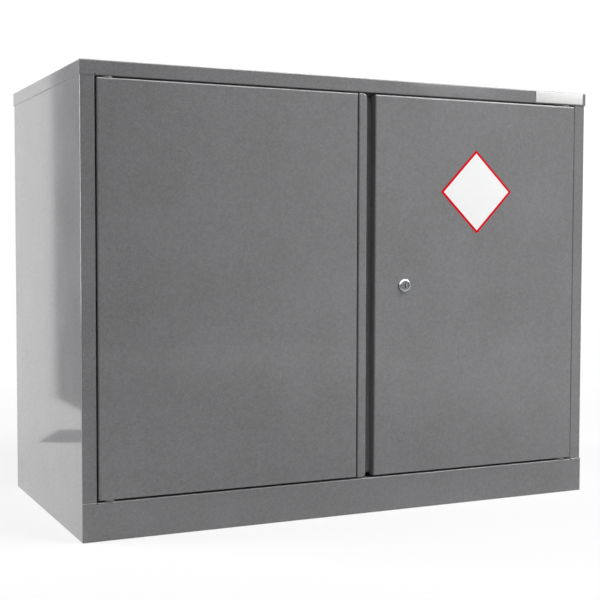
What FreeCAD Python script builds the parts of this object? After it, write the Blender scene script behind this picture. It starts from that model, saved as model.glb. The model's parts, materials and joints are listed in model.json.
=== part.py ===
# Low two-door cabinet in folded sheet steel, in millimetres.
# Origin: middle of the footprint on the floor. X runs to the right, Y to the back and Z up, so the
# doors face -Y. Every size is a cell of the Sizes sheet, and every place is a formula of those cells.
import FreeCAD, Part
import Sketcher
import os
import re

SIZES = (
    ("overall_width", 915.0, "over the cap, left to right"),
    ("overall_depth", 457.0, "over the cap, front to back"),
    ("overall_height", 711.0, "floor to the top of the cap"),
    ("sheet", 1.0, "steel sheet of carcass and doors"),
    ("bend", 1.0, "inside radius of a fold"),
    ("weld_flange", 15.0, "width of the flanges that are welded to a neighbour"),
    ("overrun", 2.0, "how far a cut runs past the metal"),
    ("fit", 0.05, "radial clearance of a pin in its hole"),
    ("play", 0.3, "clearance of a loose fit"),
    ("keep_play", 0.8, "radial clearance of a bolt in its keep hole"),
    ("cap_skirt", 23.0, "height of the cap's folded edge"),
    ("plinth_height", 58.5, "floor to the sill under the doors"),
    ("stile_width", 22.5, "front face of a side panel, beside a door"),
    ("stile_return", 15.0, "depth of the fold behind a stile's inner edge"),
    ("foot_flange", 12.0, "fold along the foot of a side panel"),
    ("relief_width", 1.5, "bend-relief notch, across"),
    ("relief_height", 3.0, "bend-relief notch, along the bent edge's face"),
    ("sump_depth", 40.0, "depth of the liquid-tight base"),
    ("stop_gap", 12.0, "end of the door stop rail and of the sump's front flange to the pin plate beside it"),
    ("stop_leg", 16.0, "leg of the stop rail that hangs behind the doors"),
    ("stop_seat", 18.0, "leg of the stop rail that is welded to the cap"),
    ("buffer_length", 20.0, "rubber door buffer, along X"),
    ("buffer_width", 10.0, "rubber door buffer, along Z"),
    ("buffer_height", 2.7, "rubber door buffer, off the rail"),
    ("buffer_inset", 46.0, "buffer from the end of its door's rear flange"),
    ("door_depth", 25.0, "door, front face to rear flange"),
    ("door_proud", 3.0, "door face in front of the stiles"),
    ("door_side_gap", 2.0, "gap between a door and its stile"),
    ("door_centre_gap", 2.0, "gap between the doors"),
    ("door_top_gap", 2.5, "gap under the cap"),
    ("door_bottom_gap", 3.0, "gap over the sill"),
    ("door_flange", 15.0, "rear flange round a door"),
    ("leading_flange", 24.0, "rear flange along the left door's leading edge"),
    ("pull_lip", 14.2, "front lip of the finger pull"),
    ("pull_groove", 16.2, "mouth of the finger pull"),
    ("pull_depth", 15.6, "door face to the floor of the finger pull"),
    ("pull_relief", 8.0, "part of the finger pull left without a floor, at each end"),
    ("pull_top_radius", 7.0, "upper corner of the lip"),
    ("pull_foot_radius", 4.5, "lower corner of the lip"),
    ("hat_width", 60.0, "crown of a door stiffener"),
    ("hat_depth", 18.0, "door skin to the crown of a stiffener"),
    ("hat_flange", 12.0, "welded flange of a stiffener"),
    ("hat_margin", 24.0, "stiffener short of the door's end"),
    ("left_hat_across", 216.0, "middle of the left door's stiffener from the cabinet's middle"),
    ("right_hat_across", 250.0, "middle of the right door's stiffener from the cabinet's middle"),
    ("pivot_inset", 17.0, "pivot from the door's outer edge"),
    ("pivot_setback", 9.0, "pivot behind the door's face"),
    ("pin_radius", 4.0, "pivot pin"),
    ("pin_reach", 8.0, "pivot pin inside the door"),
    ("bush_shank", 11.0, "square shank of a flanged bush, across its flats"),
    ("bush_radius", 9.0, "flange of a flanged bush"),
    ("bush_depth", 10.0, "bush inside the door"),
    ("pivot_plate", 3.0, "thickness of the plates at the pivots"),
    ("pivot_plate_length", 30.0, "pin plate, along X"),
    ("pivot_plate_width", 18.0, "pin plate and door plate, along Y"),
    ("glide_across", 8.0, "middle of the sill glide from the cabinet's middle"),
    ("glide_width", 11.0, "sill glide, along X"),
    ("glide_length", 14.0, "sill glide, along Y"),
    ("glide_round", 0.8, "rounding of the glide's edges"),
    ("bolt_radius", 4.0, "shoot bolt"),
    ("bolt_inset", 12.0, "shoot bolt from the left door's leading edge"),
    ("bolt_setback", 17.5, "shoot bolt behind the door's face"),
    ("bolt_length", 100.0, "shoot bolt"),
    ("bolt_travel", 15.0, "travel of a shoot bolt"),
    ("bolt_sink", 0.5, "drawn bolt or rod below the door's end"),
    ("knob_radius", 3.0, "shoot bolt's knob"),
    ("knob_drop", 65.0, "shoot bolt's knob from its tip"),
    ("knob_reach", 8.0, "knob behind the rear flange"),
    ("guide_drop", 32.0, "bolt guide from the door's end"),
    ("guide_plate", 2.0, "thickness of bolt and rod guides"),
    ("guide_leg", 12.0, "welded leg of a guide"),
    ("lock_across", 87.0, "lock from the cabinet's middle"),
    ("lock_height", 374.0, "lock above the floor"),
    ("bezel_radius", 11.2, "lock's front flange"),
    ("bezel_proud", 4.5, "bezel in front of the door"),
    ("bezel_bevel", 1.2, "bevel round the bezel"),
    ("barrel_radius", 9.5, "lock's threaded barrel"),
    ("barrel_length", 16.0, "barrel behind the door's face"),
    ("plug_radius", 7.0, "lock's turning plug"),
    ("plug_recess", 0.9, "plug's face behind the bezel's rim"),
    ("key_width", 1.6, "keyway, across"),
    ("key_height", 8.5, "keyway, along"),
    ("key_depth", 9.0, "keyway, into the plug"),
    ("nut_across", 24.0, "lock nut, across its flats"),
    ("nut_height", 3.0, "lock nut"),
    ("crank_throw", 13.0, "crank pin from the lock's axis"),
    ("crank_plate", 2.0, "thickness of the crank"),
    ("crank_end_radius", 5.0, "rounded end of the crank"),
    ("crank_pin_radius", 2.0, "crank pin"),
    ("crank_pin_length", 4.4, "crank pin behind the crank"),
    ("crank_square", 6.5, "square end of the plug"),
    ("rod_radius", 3.0, "locking rod"),
    ("eye_plate", 3.0, "thickness of a rod's flattened eye"),
    ("eye_half_width", 6.2, "half the width of the eye"),
    ("eye_slot_play", 0.6, "crank pin in the eye, along the rod"),
    ("eye_end", 5.0, "eye beyond the crank pin"),
    ("rod_start", 20.0, "round part of a rod from the lock's axis, when drawn"),
    ("rod_guide_distance", 150.0, "rod guide from the lock's axis"),
    ("rod_guide_half_width", 8.0, "half the width of a rod guide"),
    ("upright_sheet", 1.2, "steel sheet of a shelf upright"),
    ("upright_width", 25.0, "shelf upright, along Y"),
    ("upright_depth", 12.0, "shelf upright, off the side panel"),
    ("upright_margin", 7.0, "upright short of the sill and of the cap"),
    ("upright_front", 78.0, "front uprights behind the stiles"),
    ("upright_rear", 60.0, "rear uprights before the back panel"),
    ("slot_width", 4.0, "slot of an upright, along Y"),
    ("slot_height", 12.0, "slot of an upright"),
    ("slot_margin", 18.0, "lowest slot from the upright's foot"),
    ("slot_pitch", 50.0, "slot to slot"),
    ("shelf_slot_count", 5.0, "slots below the one that holds the shelf"),
    ("clip_plate", 2.5, "thickness of a shelf clip"),
    ("clip_width", 16.0, "shelf clip, along Y"),
    ("clip_reach", 16.0, "shelf clip under the shelf"),
    ("clip_drop", 18.0, "foot of the slot below the shelf"),
    ("clip_hook", 5.0, "hook of a clip below the slot's foot"),
    ("shelf_height", 30.0, "upstand round the shelf"),
    ("shelf_side_gap", 1.5, "shelf to the uprights"),
    ("shelf_front_gap", 39.5, "shelf behind the stiles"),
    ("shelf_rear_gap", 6.0, "shelf to the back panel"),
)

# Places and derived sizes, each a formula of the cells or of other places.
PLACES = {
    "fold": "bend + sheet",
    "cap_front": "-overall_depth / 2",
    "carcass_side": "overall_width / 2 - sheet",
    "carcass_inner": "carcass_side - sheet",
    "carcass_back": "overall_depth / 2 - sheet",
    "carcass_top": "overall_height - sheet - bend",
    "back_face": "carcass_back - 2 * sheet",
    "stile_face": "cap_front + sheet",
    "stile_edge": "carcass_side - stile_width",
    "return_side": "stile_edge - play",
    "cap_foot": "overall_height - cap_skirt",
    "door_face": "stile_face - door_proud",
    "door_back": "door_face + door_depth",
    "door_edge": "stile_edge - door_side_gap",
    "door_lead": "door_centre_gap / 2",
    "door_base": "plinth_height + door_bottom_gap",
    "door_top": "cap_foot - door_top_gap",
    "door_height": "door_top - door_base",
    "stop_face": "door_back + buffer_height + play",
    "return_back": "stop_face - bend",
    "sump_rim": "plinth_height - sheet",
    "sump_front": "return_back + sheet",
    "pivot_across": "door_edge - pivot_inset",
    "pivot_back": "door_face + pivot_setback",
    "stop_half": "pivot_across - pivot_plate_length / 2 - stop_gap",
    "pull_lip_edge": "door_lead + pull_lip",
    "pull_wall": "pull_lip_edge + pull_groove",
    "pull_floor": "door_face + pull_depth",
    "bolt_across": "door_lead + bolt_inset",
    "bolt_back": "door_face + bolt_setback",
    "lock_rise": "lock_height - door_base",
    "crank_back": "barrel_length + play + crank_plate",
    "crank_low": "crank_throw * sqrt(2) / 2",
    "rod_offset": "(crank_throw + crank_low) / 2",
    "rod_back": "door_face + crank_back + play + eye_plate / 2",
    "upright_foot": "plinth_height + upright_margin",
    "upright_height": "cap_foot - upright_margin - upright_foot",
    "slot_count": "floor((upright_height - 2 * slot_margin - slot_height) / slot_pitch) + 1",
    "upright_face": "carcass_inner - upright_depth",
    "shelf_foot": "upright_foot + slot_margin + shelf_slot_count * slot_pitch + clip_drop",
    "shelf_side": "upright_face - shelf_side_gap",
}
ALIASES = {alias for alias, size, note in SIZES}
SIDES = {"left": "-1", "right": "1"}
FRONT, PLAN, SIDE = "XZ_Plane", "XY_Plane", "YZ_Plane"

doc = FreeCAD.newDocument("Cabinet")
sizes = doc.addObject("Spreadsheet::Sheet", "Sizes")
for row, (alias, size, note) in enumerate(SIZES, 1):
    sizes.set(f"A{row}", alias)
    sizes.set(f"B{row}", str(size))
    sizes.set(f"C{row}", note)
    sizes.setAlias(f"B{row}", alias)
doc.recompute()
nodes = []


def bound(formula):
    """Spell a formula out in cells of the Sizes sheet."""

    def spell(match):
        word = match.group(0)
        if word in PLACES:
            return "(" + bound(PLACES[word]) + ")"
        return "Sizes." + word if word in ALIASES else word

    return re.sub(r"[a-z][a-z_]*", spell, formula)


def value(formula):
    """Give a formula's present value."""
    return float(sizes.evalExpression(bound(formula)))


def tie(thing, prop, formula):
    """Bind a property to a formula."""
    thing.setExpression(prop, bound(formula))


def new_body(label, x="0", y="0", z="0", turn=None):
    """Start a sub-part whose placement is bound to formulas."""
    body = doc.addObject("PartDesign::Body", label)
    body.Label = label
    start = FreeCAD.Vector(value(x), value(y), value(z))
    body.Placement = FreeCAD.Placement(start, turn or FreeCAD.Rotation())
    for axis, formula in zip("xyz", (x, y, z)):
        tie(body, f"Placement.Base.{axis}", formula)
    nodes.append(body)
    return body


def rectangle(left, low, right, high):
    """List the corners of an upright rectangle."""
    return [(left, low), (right, low), (right, high), (left, high)]


def square(x, y, half):
    """List the corners of an upright square round a middle."""
    return rectangle(f"{x} - ({half})", f"{y} - ({half})", f"{x} + {half}", f"{y} + {half}")


def pin(sketch, constraint, line, formula):
    """Hold the start of a line, or the middle of a circle, at a formula's distance from the origin."""
    point = 3 if sketch.Geometry[line].TypeId == "Part::GeomCircle" else 1
    if abs(value(formula)) < 1e-9 and formula == "0":
        axis_line = -2 if constraint == "DistanceX" else -1
        sketch.addConstraint(Sketcher.Constraint("PointOnObject", line, point, axis_line))
        return
    held = sketch.addConstraint(Sketcher.Constraint(constraint, -1, 1, line, point, value(formula)))
    tie(sketch, f"Constraints[{held}]", formula)


def draw(body, plane, level, *outlines):
    """Sketch on one of the body's planes, moved to a level along its axis.

    A list of corners is a closed outline, and three formulas are a circle's middle and radius.
    """
    sketch = body.newObject("Sketcher::SketchObject", f"{body.Label}_sketch")
    origin_plane = next(item for item in body.Origin.OriginFeatures if item.Role == plane)
    sketch.AttachmentSupport = (origin_plane, [""])
    sketch.MapMode = "FlatFace"
    tie(sketch, "AttachmentOffset.Base.z", f"-({level})" if plane == FRONT else level)
    for outline in outlines:
        first = sketch.GeometryCount
        if isinstance(outline, tuple):
            x, y, radius = outline
            middle = FreeCAD.Vector(value(x), value(y), 0)
            sketch.addGeometry(Part.Circle(middle, FreeCAD.Vector(0, 0, 1), value(radius)), False)
            pin(sketch, "DistanceX", first, x)
            pin(sketch, "DistanceY", first, y)
            held = sketch.addConstraint(Sketcher.Constraint("Radius", first, value(radius)))
            tie(sketch, f"Constraints[{held}]", radius)
            continue
        corners = [FreeCAD.Vector(value(x), value(y), 0) for x, y in outline]
        count = len(corners)
        for number, corner in enumerate(corners):
            sketch.addGeometry(Part.LineSegment(corner, corners[(number + 1) % count]), False)
        for number, (x, y) in enumerate(outline):
            line = first + number
            following = first + (number + 1) % count
            sketch.addConstraint(Sketcher.Constraint("Coincident", line, 2, following, 1))
            pin(sketch, "DistanceX", line, x)
            pin(sketch, "DistanceY", line, y)
    return sketch


def finished(feature):
    """Build a feature, and stop if it fails."""
    doc.recompute()
    if feature.Shape.isNull() or "Invalid" in feature.State or not feature.Shape.isValid():
        raise ValueError(f"{feature.Label} did not build: {feature.State}")
    return feature


def pad(body, plane, level, length, *outlines):
    """Add metal from a level towards the plus side of its axis."""
    feature = body.newObject("PartDesign::Pad", f"{body.Label}_pad")
    feature.Profile = draw(body, plane, level, *outlines)
    feature.Reversed = plane == FRONT
    tie(feature, "Length", length)
    return finished(feature)


def cut(body, plane, level, length, *outlines):
    """Take metal away from a level towards the plus side of its axis."""
    before = body.Shape.Volume
    feature = body.newObject("PartDesign::Pocket", f"{body.Label}_cut")
    feature.Profile = draw(body, plane, level, *outlines)
    feature.Reversed = plane != FRONT
    tie(feature, "Length", length)
    finished(feature)
    if not body.Shape.Volume < before:
        raise ValueError(f"{feature.Label} takes nothing away")
    return feature


def drill(body, plane, level, thickness, *outlines):
    """Cut holes right through a wall that starts at a level."""
    return cut(body, plane, f"{level} - overrun", f"{thickness} + 2 * overrun", *outlines)


def revolve(body, corners):
    """Turn an outline of radius and height about the body's Z axis."""
    sketch = draw(body, FRONT, "0", corners)
    feature = body.newObject("PartDesign::Revolution", f"{body.Label}_turning")
    feature.Profile = sketch
    feature.ReferenceAxis = (sketch, ["V_Axis"])
    feature.Angle = 360.0
    return finished(feature)


def edges_along(shape, axis, place, within):
    """Name the straight edges along an axis that pass through a given place across it.

    An edge counts only where both its ends lie within a distance from the body's middle.
    """
    across = [name for name in "xyz" if name != axis]
    found = []
    for number, edge in enumerate(shape.Edges, 1):
        if edge.Degenerated or len(edge.Vertexes) != 2 or edge.Curve.TypeId != "Part::GeomLine":
            continue
        start, end = edge.Vertexes[0].Point, edge.Vertexes[1].Point
        if max(abs(getattr(start, axis)), abs(getattr(end, axis))) > within + 1e-4:
            continue
        if all(abs(getattr(point, name) - held) < 1e-4 for point in (start, end)
               for name, held in zip(across, place)):
            found.append(f"Edge{number}")
    return found


def round_off(body, radius, *spots, within="overall_width"):
    """Round straight edges, each given by its axis and its place across that axis."""
    base = body.Tip
    names = []
    for axis, *place in spots:
        names += edges_along(base.Shape, axis, [value(formula) for formula in place], value(within))
    if len(names) < len(spots):
        raise ValueError(f"{body.Label} has no edge to round")
    feature = body.newObject("PartDesign::Fillet", f"{body.Label}_rounding")
    feature.Base = (base, names)
    tie(feature, "Radius", radius)
    return finished(feature)


def hollow(body, direction, thickness):
    """Turn the solid into a folded pan, open on the flat side that faces a direction."""
    base = body.Tip
    towards = FreeCAD.Vector(*direction)
    open_side = max(range(len(base.Shape.Faces)),
                    key=lambda number: base.Shape.Faces[number].CenterOfMass.dot(towards))
    feature = body.newObject("PartDesign::Thickness", f"{body.Label}_walls")
    feature.Base = (base, [f"Face{open_side + 1}"])
    feature.Reversed = True
    tie(feature, "Value", thickness)
    return finished(feature)


def fold(body, plane, level, length, path, metal_left, thickness="sheet", coined=False):
    """Make a folded strip: a square-cornered path with metal on one side of it, bent at each corner.

    A coined fold is pressed sharp on the inside.
    """
    spots = [FreeCAD.Vector(value(x), value(y), 0) for x, y in path]
    ways = [(after - before).normalize() for before, after in zip(spots, spots[1:])]
    turn = 1 if metal_left else -1
    axis = {FRONT: "y", PLAN: "z", SIDE: "x"}[plane]
    offset, outer, inner = [], [], []
    for number, (x, y) in enumerate(path):
        touching = ways[max(number - 1, 0):number + 1]
        if number in (0, len(path) - 1):
            touching = touching[:1]
        along_x = round(sum(-way.y * turn for way in touching))
        along_y = round(sum(way.x * turn for way in touching))
        corner = (f"{x} + {along_x} * {thickness}", f"{y} + {along_y} * {thickness}")
        offset.append(corner)
        if len(touching) == 2:
            inward = touching[0].cross(touching[1]).z * turn > 0
            outer.append((axis, *((x, y) if inward else corner)))
            inner.append((axis, *(corner if inward else (x, y))))
    pad(body, plane, level, length, list(path) + offset[::-1])
    round_off(body, f"bend + {thickness}", *outer)
    if not coined:
        round_off(body, "bend", *inner)


def mirrored(body, label):
    """Make the left-hand piece from the right-hand one."""
    twin = doc.addObject("Part::Mirroring", label)
    twin.Label = label
    twin.Source = body
    twin.Normal = FreeCAD.Vector(1, 0, 0)
    nodes.append(twin)
    return twin


UPSIDE_DOWN = FreeCAD.Rotation(FreeCAD.Vector(1, 0, 0), 180)
FACING_FRONT = FreeCAD.Rotation(FreeCAD.Vector(1, 0, 0), 90)
HALF_TURN = FreeCAD.Rotation(FreeCAD.Vector(0, 0, 1), 180)

# Holes that line up from one folded sheet to the next, as a middle and a radius.
PIVOT_HOLES = [(f"{side} * pivot_across", "pivot_back", "pin_radius + fit") for side in SIDES.values()]
BOLT_KEEP = ("-bolt_across", "bolt_back", "bolt_radius + keep_play")
UPPER_KEEP = ("lock_across - rod_offset", "rod_back", "rod_radius + keep_play")
LOWER_KEEP = ("lock_across + rod_offset", "rod_back", "rod_radius + keep_play")


def notch(body, level, front, *keeps):
    """Notch the front edge of a flange behind each keep hole of the sheet that it backs."""
    for x, y, radius in keeps:
        reach = f"({radius} + play)"
        cut(body, PLAN, f"{level} - overrun", "sheet + 2 * overrun",
            rectangle(f"{x} - {reach}", f"{front} - overrun", f"{x} + {reach}", f"{y} + {reach}"))


def side_panels():
    """Side panels: each folds forward into the stile beside its door and back over the rear panel."""
    body = new_body("side_panel_right")
    path = [("stile_edge", "stile_face + stile_return"), ("stile_edge", "stile_face"),
            ("carcass_side", "stile_face"), ("carcass_side", "carcass_back"),
            ("carcass_side - weld_flange", "carcass_back")]
    fold(body, PLAN, "0", "carcass_top", path, True)
    pad(body, PLAN, "0", "sheet",
        rectangle("carcass_inner - foot_flange", "stile_face + stile_return + fold",
                  "carcass_side - sheet / 2", "back_face - sheet"))
    mirrored(body, "side_panel_left")


def back_panel():
    """Back panel, lapped inside the rear flanges of the side panels."""
    body = new_body("back_panel", y="back_face")
    side = "carcass_inner - bend"
    pad(body, FRONT, "0", "sheet", rectangle(f"-({side})", "0", side, "carcass_top"))


def relieve(body, skirt_back, low, high):
    """Notch a front edge at both ends of its return fold."""
    for side in SIDES.values():
        inner, outer = f"{side} * return_side", f"{side} * (return_side + relief_width)"
        left, right = (outer, inner) if side == "-1" else (inner, outer)
        cut(body, FRONT, "cap_front - overrun", f"({skirt_back}) - cap_front + overrun",
            rectangle(left, low, right, high))


def top_cap():
    """Cap: a shallow pan, turned over the carcass, whose front edge folds back over the doors."""
    body = new_body("top_cap", z="cap_foot")
    half = "overall_width / 2"
    pad(body, PLAN, "0", "cap_skirt", rectangle(f"-{half}", "cap_front", half, "-cap_front"))
    round_off(body, "fold", ("x", "cap_front", "cap_skirt"), ("x", "-cap_front", "cap_skirt"),
              ("y", f"-{half}", "cap_skirt"), ("y", half, "cap_skirt"))
    hollow(body, (0, 0, -1), "sheet")
    pad(body, PLAN, "0", "sheet", rectangle("-return_side", "cap_front + sheet / 2", "return_side", "return_back"))
    relieve(body, "stile_face", "-overrun", "relief_height")
    round_off(body, "fold", ("x", "cap_front", "0"), within="return_side")
    round_off(body, "bend", ("x", "stile_face", "sheet"), within="return_side")
    drill(body, PLAN, "0", "sheet", *PIVOT_HOLES, BOLT_KEEP, UPPER_KEEP)


def stop_rail():
    """Angle on the cap's front return: it hangs behind the doors and carries their buffers."""
    body = new_body("door_stop_rail", z="cap_foot")
    front = "stop_face + sheet - stop_seat"
    path = [(front, "2 * sheet"), ("stop_face + sheet", "2 * sheet"), ("stop_face + sheet", "-stop_leg")]
    fold(body, SIDE, "-stop_half", "2 * stop_half", path, False)
    notch(body, "sheet", front, BOLT_KEEP, UPPER_KEEP)


def plinth():
    """Plinth: fascia over the feet of the stiles, its top folded back as the sill."""
    body = new_body("plinth_front")
    pad(body, FRONT, "cap_front", "sheet", rectangle("-carcass_side", "0", "carcass_side", "plinth_height"))
    pad(body, PLAN, "plinth_height - sheet", "sheet",
        rectangle("-return_side", "cap_front + sheet / 2", "return_side", "return_back"))
    relieve(body, "stile_face", "plinth_height - relief_height", "plinth_height + overrun")
    round_off(body, "fold", ("x", "cap_front", "plinth_height"), within="return_side")
    round_off(body, "bend", ("x", "stile_face", "plinth_height - sheet"), within="return_side")
    drill(body, PLAN, "plinth_height - sheet", "sheet", *PIVOT_HOLES, BOLT_KEEP, LOWER_KEEP)


def base_sump():
    """Base: a folded liquid-tight pan between the side panels, with a flange under the sill."""
    body = new_body("base_sump", z="sump_rim - sump_depth")
    pad(body, PLAN, "0", "sump_depth", rectangle("-carcass_inner", "sump_front", "carcass_inner", "back_face"))
    round_off(body, "fold", ("x", "sump_front", "0"), ("x", "back_face", "0"),
              ("y", "-carcass_inner", "0"), ("y", "carcass_inner", "0"))
    hollow(body, (0, 0, 1), "sheet")
    front = "stop_face + sheet - stop_seat"
    pad(body, PLAN, "sump_depth - sheet", "sheet",
        rectangle("-stop_half", front, "stop_half", "sump_front + sheet / 2"))
    notch(body, "sump_depth - sheet", front, BOLT_KEEP, LOWER_KEEP)


def shelf_uprights():
    """Slotted channels on the side panels, and a clip in the same slot of each."""
    sketches = {}
    for side, sign in SIDES.items():
        for place, y in (("front", "stile_face + upright_front"), ("rear", "back_face - upright_rear")):
            turn = HALF_TURN if side == "left" else None
            body = new_body(f"shelf_upright_{place}_{side}", f"{sign} * carcass_inner", y, "upright_foot", turn)
            half = "upright_width / 2"
            path = [("0", f"-{half}"), ("-upright_depth", f"-{half}"), ("-upright_depth", half), ("0", half)]
            fold(body, PLAN, "0", "upright_height", path, False, "upright_sheet", coined=True)
            first = cut(body, SIDE, "-upright_depth - overrun", "upright_sheet + 2 * overrun",
                        rectangle("-slot_width / 2", "slot_margin", "slot_width / 2", "slot_margin + slot_height"))
            pattern = body.newObject("PartDesign::LinearPattern", f"{body.Label}_slots")
            pattern.Originals = [first]
            pattern.Direction = (first.Profile[0], ["V_Axis"])
            pattern.Occurrences = int(value("slot_count"))
            tie(pattern, "Length", "slot_pitch * (slot_count - 1)")
            body.Tip = finished(pattern)
            shelf_clip(f"shelf_clip_{place}_{side}", sign, y, turn)


def shelf_clip(label, sign, y, turn):
    """Shelf clip: a ledge under the shelf, hooked through a slot of the upright."""
    body = new_body(label, f"{sign} * upright_face", y, "shelf_foot", turn)
    angle = [("-clip_reach", "-clip_plate"), ("-clip_reach", "0"), ("0", "0"),
             ("0", "-clip_drop - clip_hook"), ("-clip_plate", "-clip_drop - clip_hook"),
             ("-clip_plate", "-clip_plate")]
    pad(body, FRONT, "-clip_width / 2", "clip_width", angle)
    inside = "upright_sheet + play"
    hook = [("-clip_plate / 2", "-clip_drop"), (inside, "-clip_drop"), (inside, "-clip_drop - clip_hook"),
            (f"{inside} + clip_plate", "-clip_drop - clip_hook"), (f"{inside} + clip_plate", "-clip_drop + clip_hook"),
            ("-clip_plate / 2", "-clip_drop + clip_hook")]
    pad(body, FRONT, "-slot_width / 2 + play", "slot_width - 2 * play", hook)


def shelf():
    """Shelf: a folded tray that holds a spill, resting on the four clips."""
    body = new_body("shelf_tray", z="shelf_foot")
    front, rear = "stile_face + shelf_front_gap", "back_face - shelf_rear_gap"
    pad(body, PLAN, "0", "shelf_height", rectangle("-shelf_side", front, "shelf_side", rear))
    round_off(body, "fold", ("x", front, "0"), ("x", rear, "0"), ("y", "-shelf_side", "0"), ("y", "shelf_side", "0"))
    hollow(body, (0, 0, 1), "sheet")


def grouped(label, members):
    """Make one sub-part of several like pieces."""
    group = doc.addObject("Part::Compound", label)
    group.Label = label
    group.Links = members
    nodes.append(group)
    for member in members:
        nodes.remove(member)


def pivots():
    """Pivots: pins on plates under the sill and over the cap's return, and bushes and plates in the doors."""
    ends = {
        "top": ("door_top", "door_top_gap", "1", None),
        "bottom": ("door_base", "door_bottom_gap", "-1", UPSIDE_DOWN),
    }
    for side, sign in SIDES.items():
        pins, bushes, plates = [], [], []
        for end, (level, gap, way, turn) in ends.items():
            x = f"{sign} * pivot_across"
            seat = f"({gap} + sheet)"
            pivot = new_body(f"pivot_pin_{end}_{side}", x, "pivot_back", level, turn)
            edges = [f"{way} * (stile_face + fold + play - pivot_back)",
                     f"{way} * (stile_face + fold + play - pivot_back + pivot_plate_width)"]
            low, high = edges if turn is None else edges[::-1]
            pad(pivot, PLAN, seat, "pivot_plate",
                rectangle("-pivot_plate_length / 2", low, "pivot_plate_length / 2", high))
            pad(pivot, PLAN, "-pin_reach", f"pin_reach + {seat} + pivot_plate / 2", ("0", "0", "pin_radius"))
            pins.append(pivot)
            bush = new_body(f"pivot_bush_{end}_{side}", x, "pivot_back", level, turn)
            bore = ("0", "0", "pin_radius + fit")
            pad(bush, PLAN, "0", f"{gap} - play", ("0", "0", "bush_radius"), bore)
            pad(bush, PLAN, "-bush_depth", "bush_depth", square("0", "0", "bush_shank / 2"), bore)
            bushes.append(bush)
            foot = f"{level} - sheet - pivot_plate" if turn is None else f"{level} + sheet"
            front = "door_face + fold + play"
            plate = new_body(f"door_pivot_plate_{end}_{side}", f"{sign} * (pivot_across - play)", "0", foot)
            half = "(pivot_inset - sheet - 2 * play)"
            pad(plate, PLAN, "0", "pivot_plate", rectangle(f"-{half}", front, half, f"{front} + pivot_plate_width"))
            drill(plate, PLAN, "0", "pivot_plate", square(f"{sign} * play", "pivot_back", "bush_shank / 2 + fit"))
            plates.append(plate)
        grouped(f"pivot_pins_{side}", pins)
        grouped(f"pivot_bushes_{side}", bushes)
        grouped(f"door_pivot_plates_{side}", plates)


def buffers():
    """Rubber buffers on the stop rail, two for each door."""
    spots = {
        "left_outer": "-stop_half + buffer_inset",
        "left_inner": "-bolt_across - buffer_inset",
        "right_inner": "lock_across + buffer_inset",
        "right_outer": "stop_half - buffer_inset",
    }
    pieces = []
    for spot, x in spots.items():
        body = new_body(f"door_buffer_{spot}", x, "stop_face", "door_top - door_flange / 2")
        pad(body, FRONT, "-buffer_height", "buffer_height",
            rectangle("-buffer_length / 2", "-buffer_width / 2", "buffer_length / 2", "buffer_width / 2"))
        pieces.append(body)
    grouped("door_buffers", pieces)


def sill_glide():
    """Low plastic pad on the sill, under the leading edge of the right door."""
    body = new_body("sill_glide", "glide_across", "cap_front + fold", "plinth_height")
    half, thick = "glide_width / 2", "door_bottom_gap - play"
    pad(body, PLAN, "0", thick, rectangle(f"-{half}", "0", half, "glide_length"))
    round_off(body, "glide_round", ("y", f"-{half}", thick), ("y", half, thick))


def stiffener(label, across):
    """Hat section welded to the inside of a door skin."""
    body = new_body(label, across, "door_face + sheet", "door_base + hat_margin")
    crown, foot = "hat_width / 2", "hat_width / 2 + hat_flange"
    path = [(f"-({foot})", "sheet"), (f"-({crown})", "sheet"), (f"-({crown})", "hat_depth"),
            (crown, "hat_depth"), (crown, "sheet"), (foot, "sheet")]
    fold(body, PLAN, "0", "door_height - 2 * hat_margin", path, False, coined=True)


def door_pan(label, left, right):
    """Door skin: a folded pan, open to the back, with rounded front edges."""
    body = new_body(label, z="door_base")
    pad(body, PLAN, "0", "door_height", rectangle(left, "door_face", right, "door_back"))
    round_off(body, "fold", ("z", left, "door_face"), ("z", right, "door_face"),
              ("x", "door_face", "0"), ("x", "door_face", "door_height"))
    hollow(body, (0, 1, 0), "sheet")
    return body


def left_door():
    """Left door: pan with a rear flange all round, and slots for the knobs of its shoot bolts."""
    left, right = "-door_edge", "-door_lead"
    body = door_pan("left_door_skin", left, right)
    window = rectangle(f"{left} + door_flange", "door_flange",
                       f"{right} - leading_flange", "door_height - door_flange")
    pad(body, FRONT, "door_back - sheet", "sheet", rectangle(left, "0", right, "door_height"), window)
    holes = (square("-pivot_across", "pivot_back", "bush_shank / 2 + fit"),
             ("-bolt_across", "bolt_back", "bolt_radius + play"))
    drill(body, PLAN, "0", "sheet", *holes)
    drill(body, PLAN, "door_height - sheet", "sheet", *holes)
    half = "knob_radius + play"
    low, high = "bolt_sink + knob_drop", "bolt_sink + knob_drop - bolt_travel"
    for foot, head in ((f"{high} - ({half})", f"{low} + {half}"),
                       (f"door_height - ({low}) - ({half})", f"door_height - ({high}) + {half}")):
        cut(body, FRONT, "door_back - sheet - overrun", "sheet + 2 * overrun",
            rectangle(f"-bolt_across - ({half})", foot, f"-bolt_across + {half}", head))
    stiffener("left_door_stiffener", "-left_hat_across")


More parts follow.
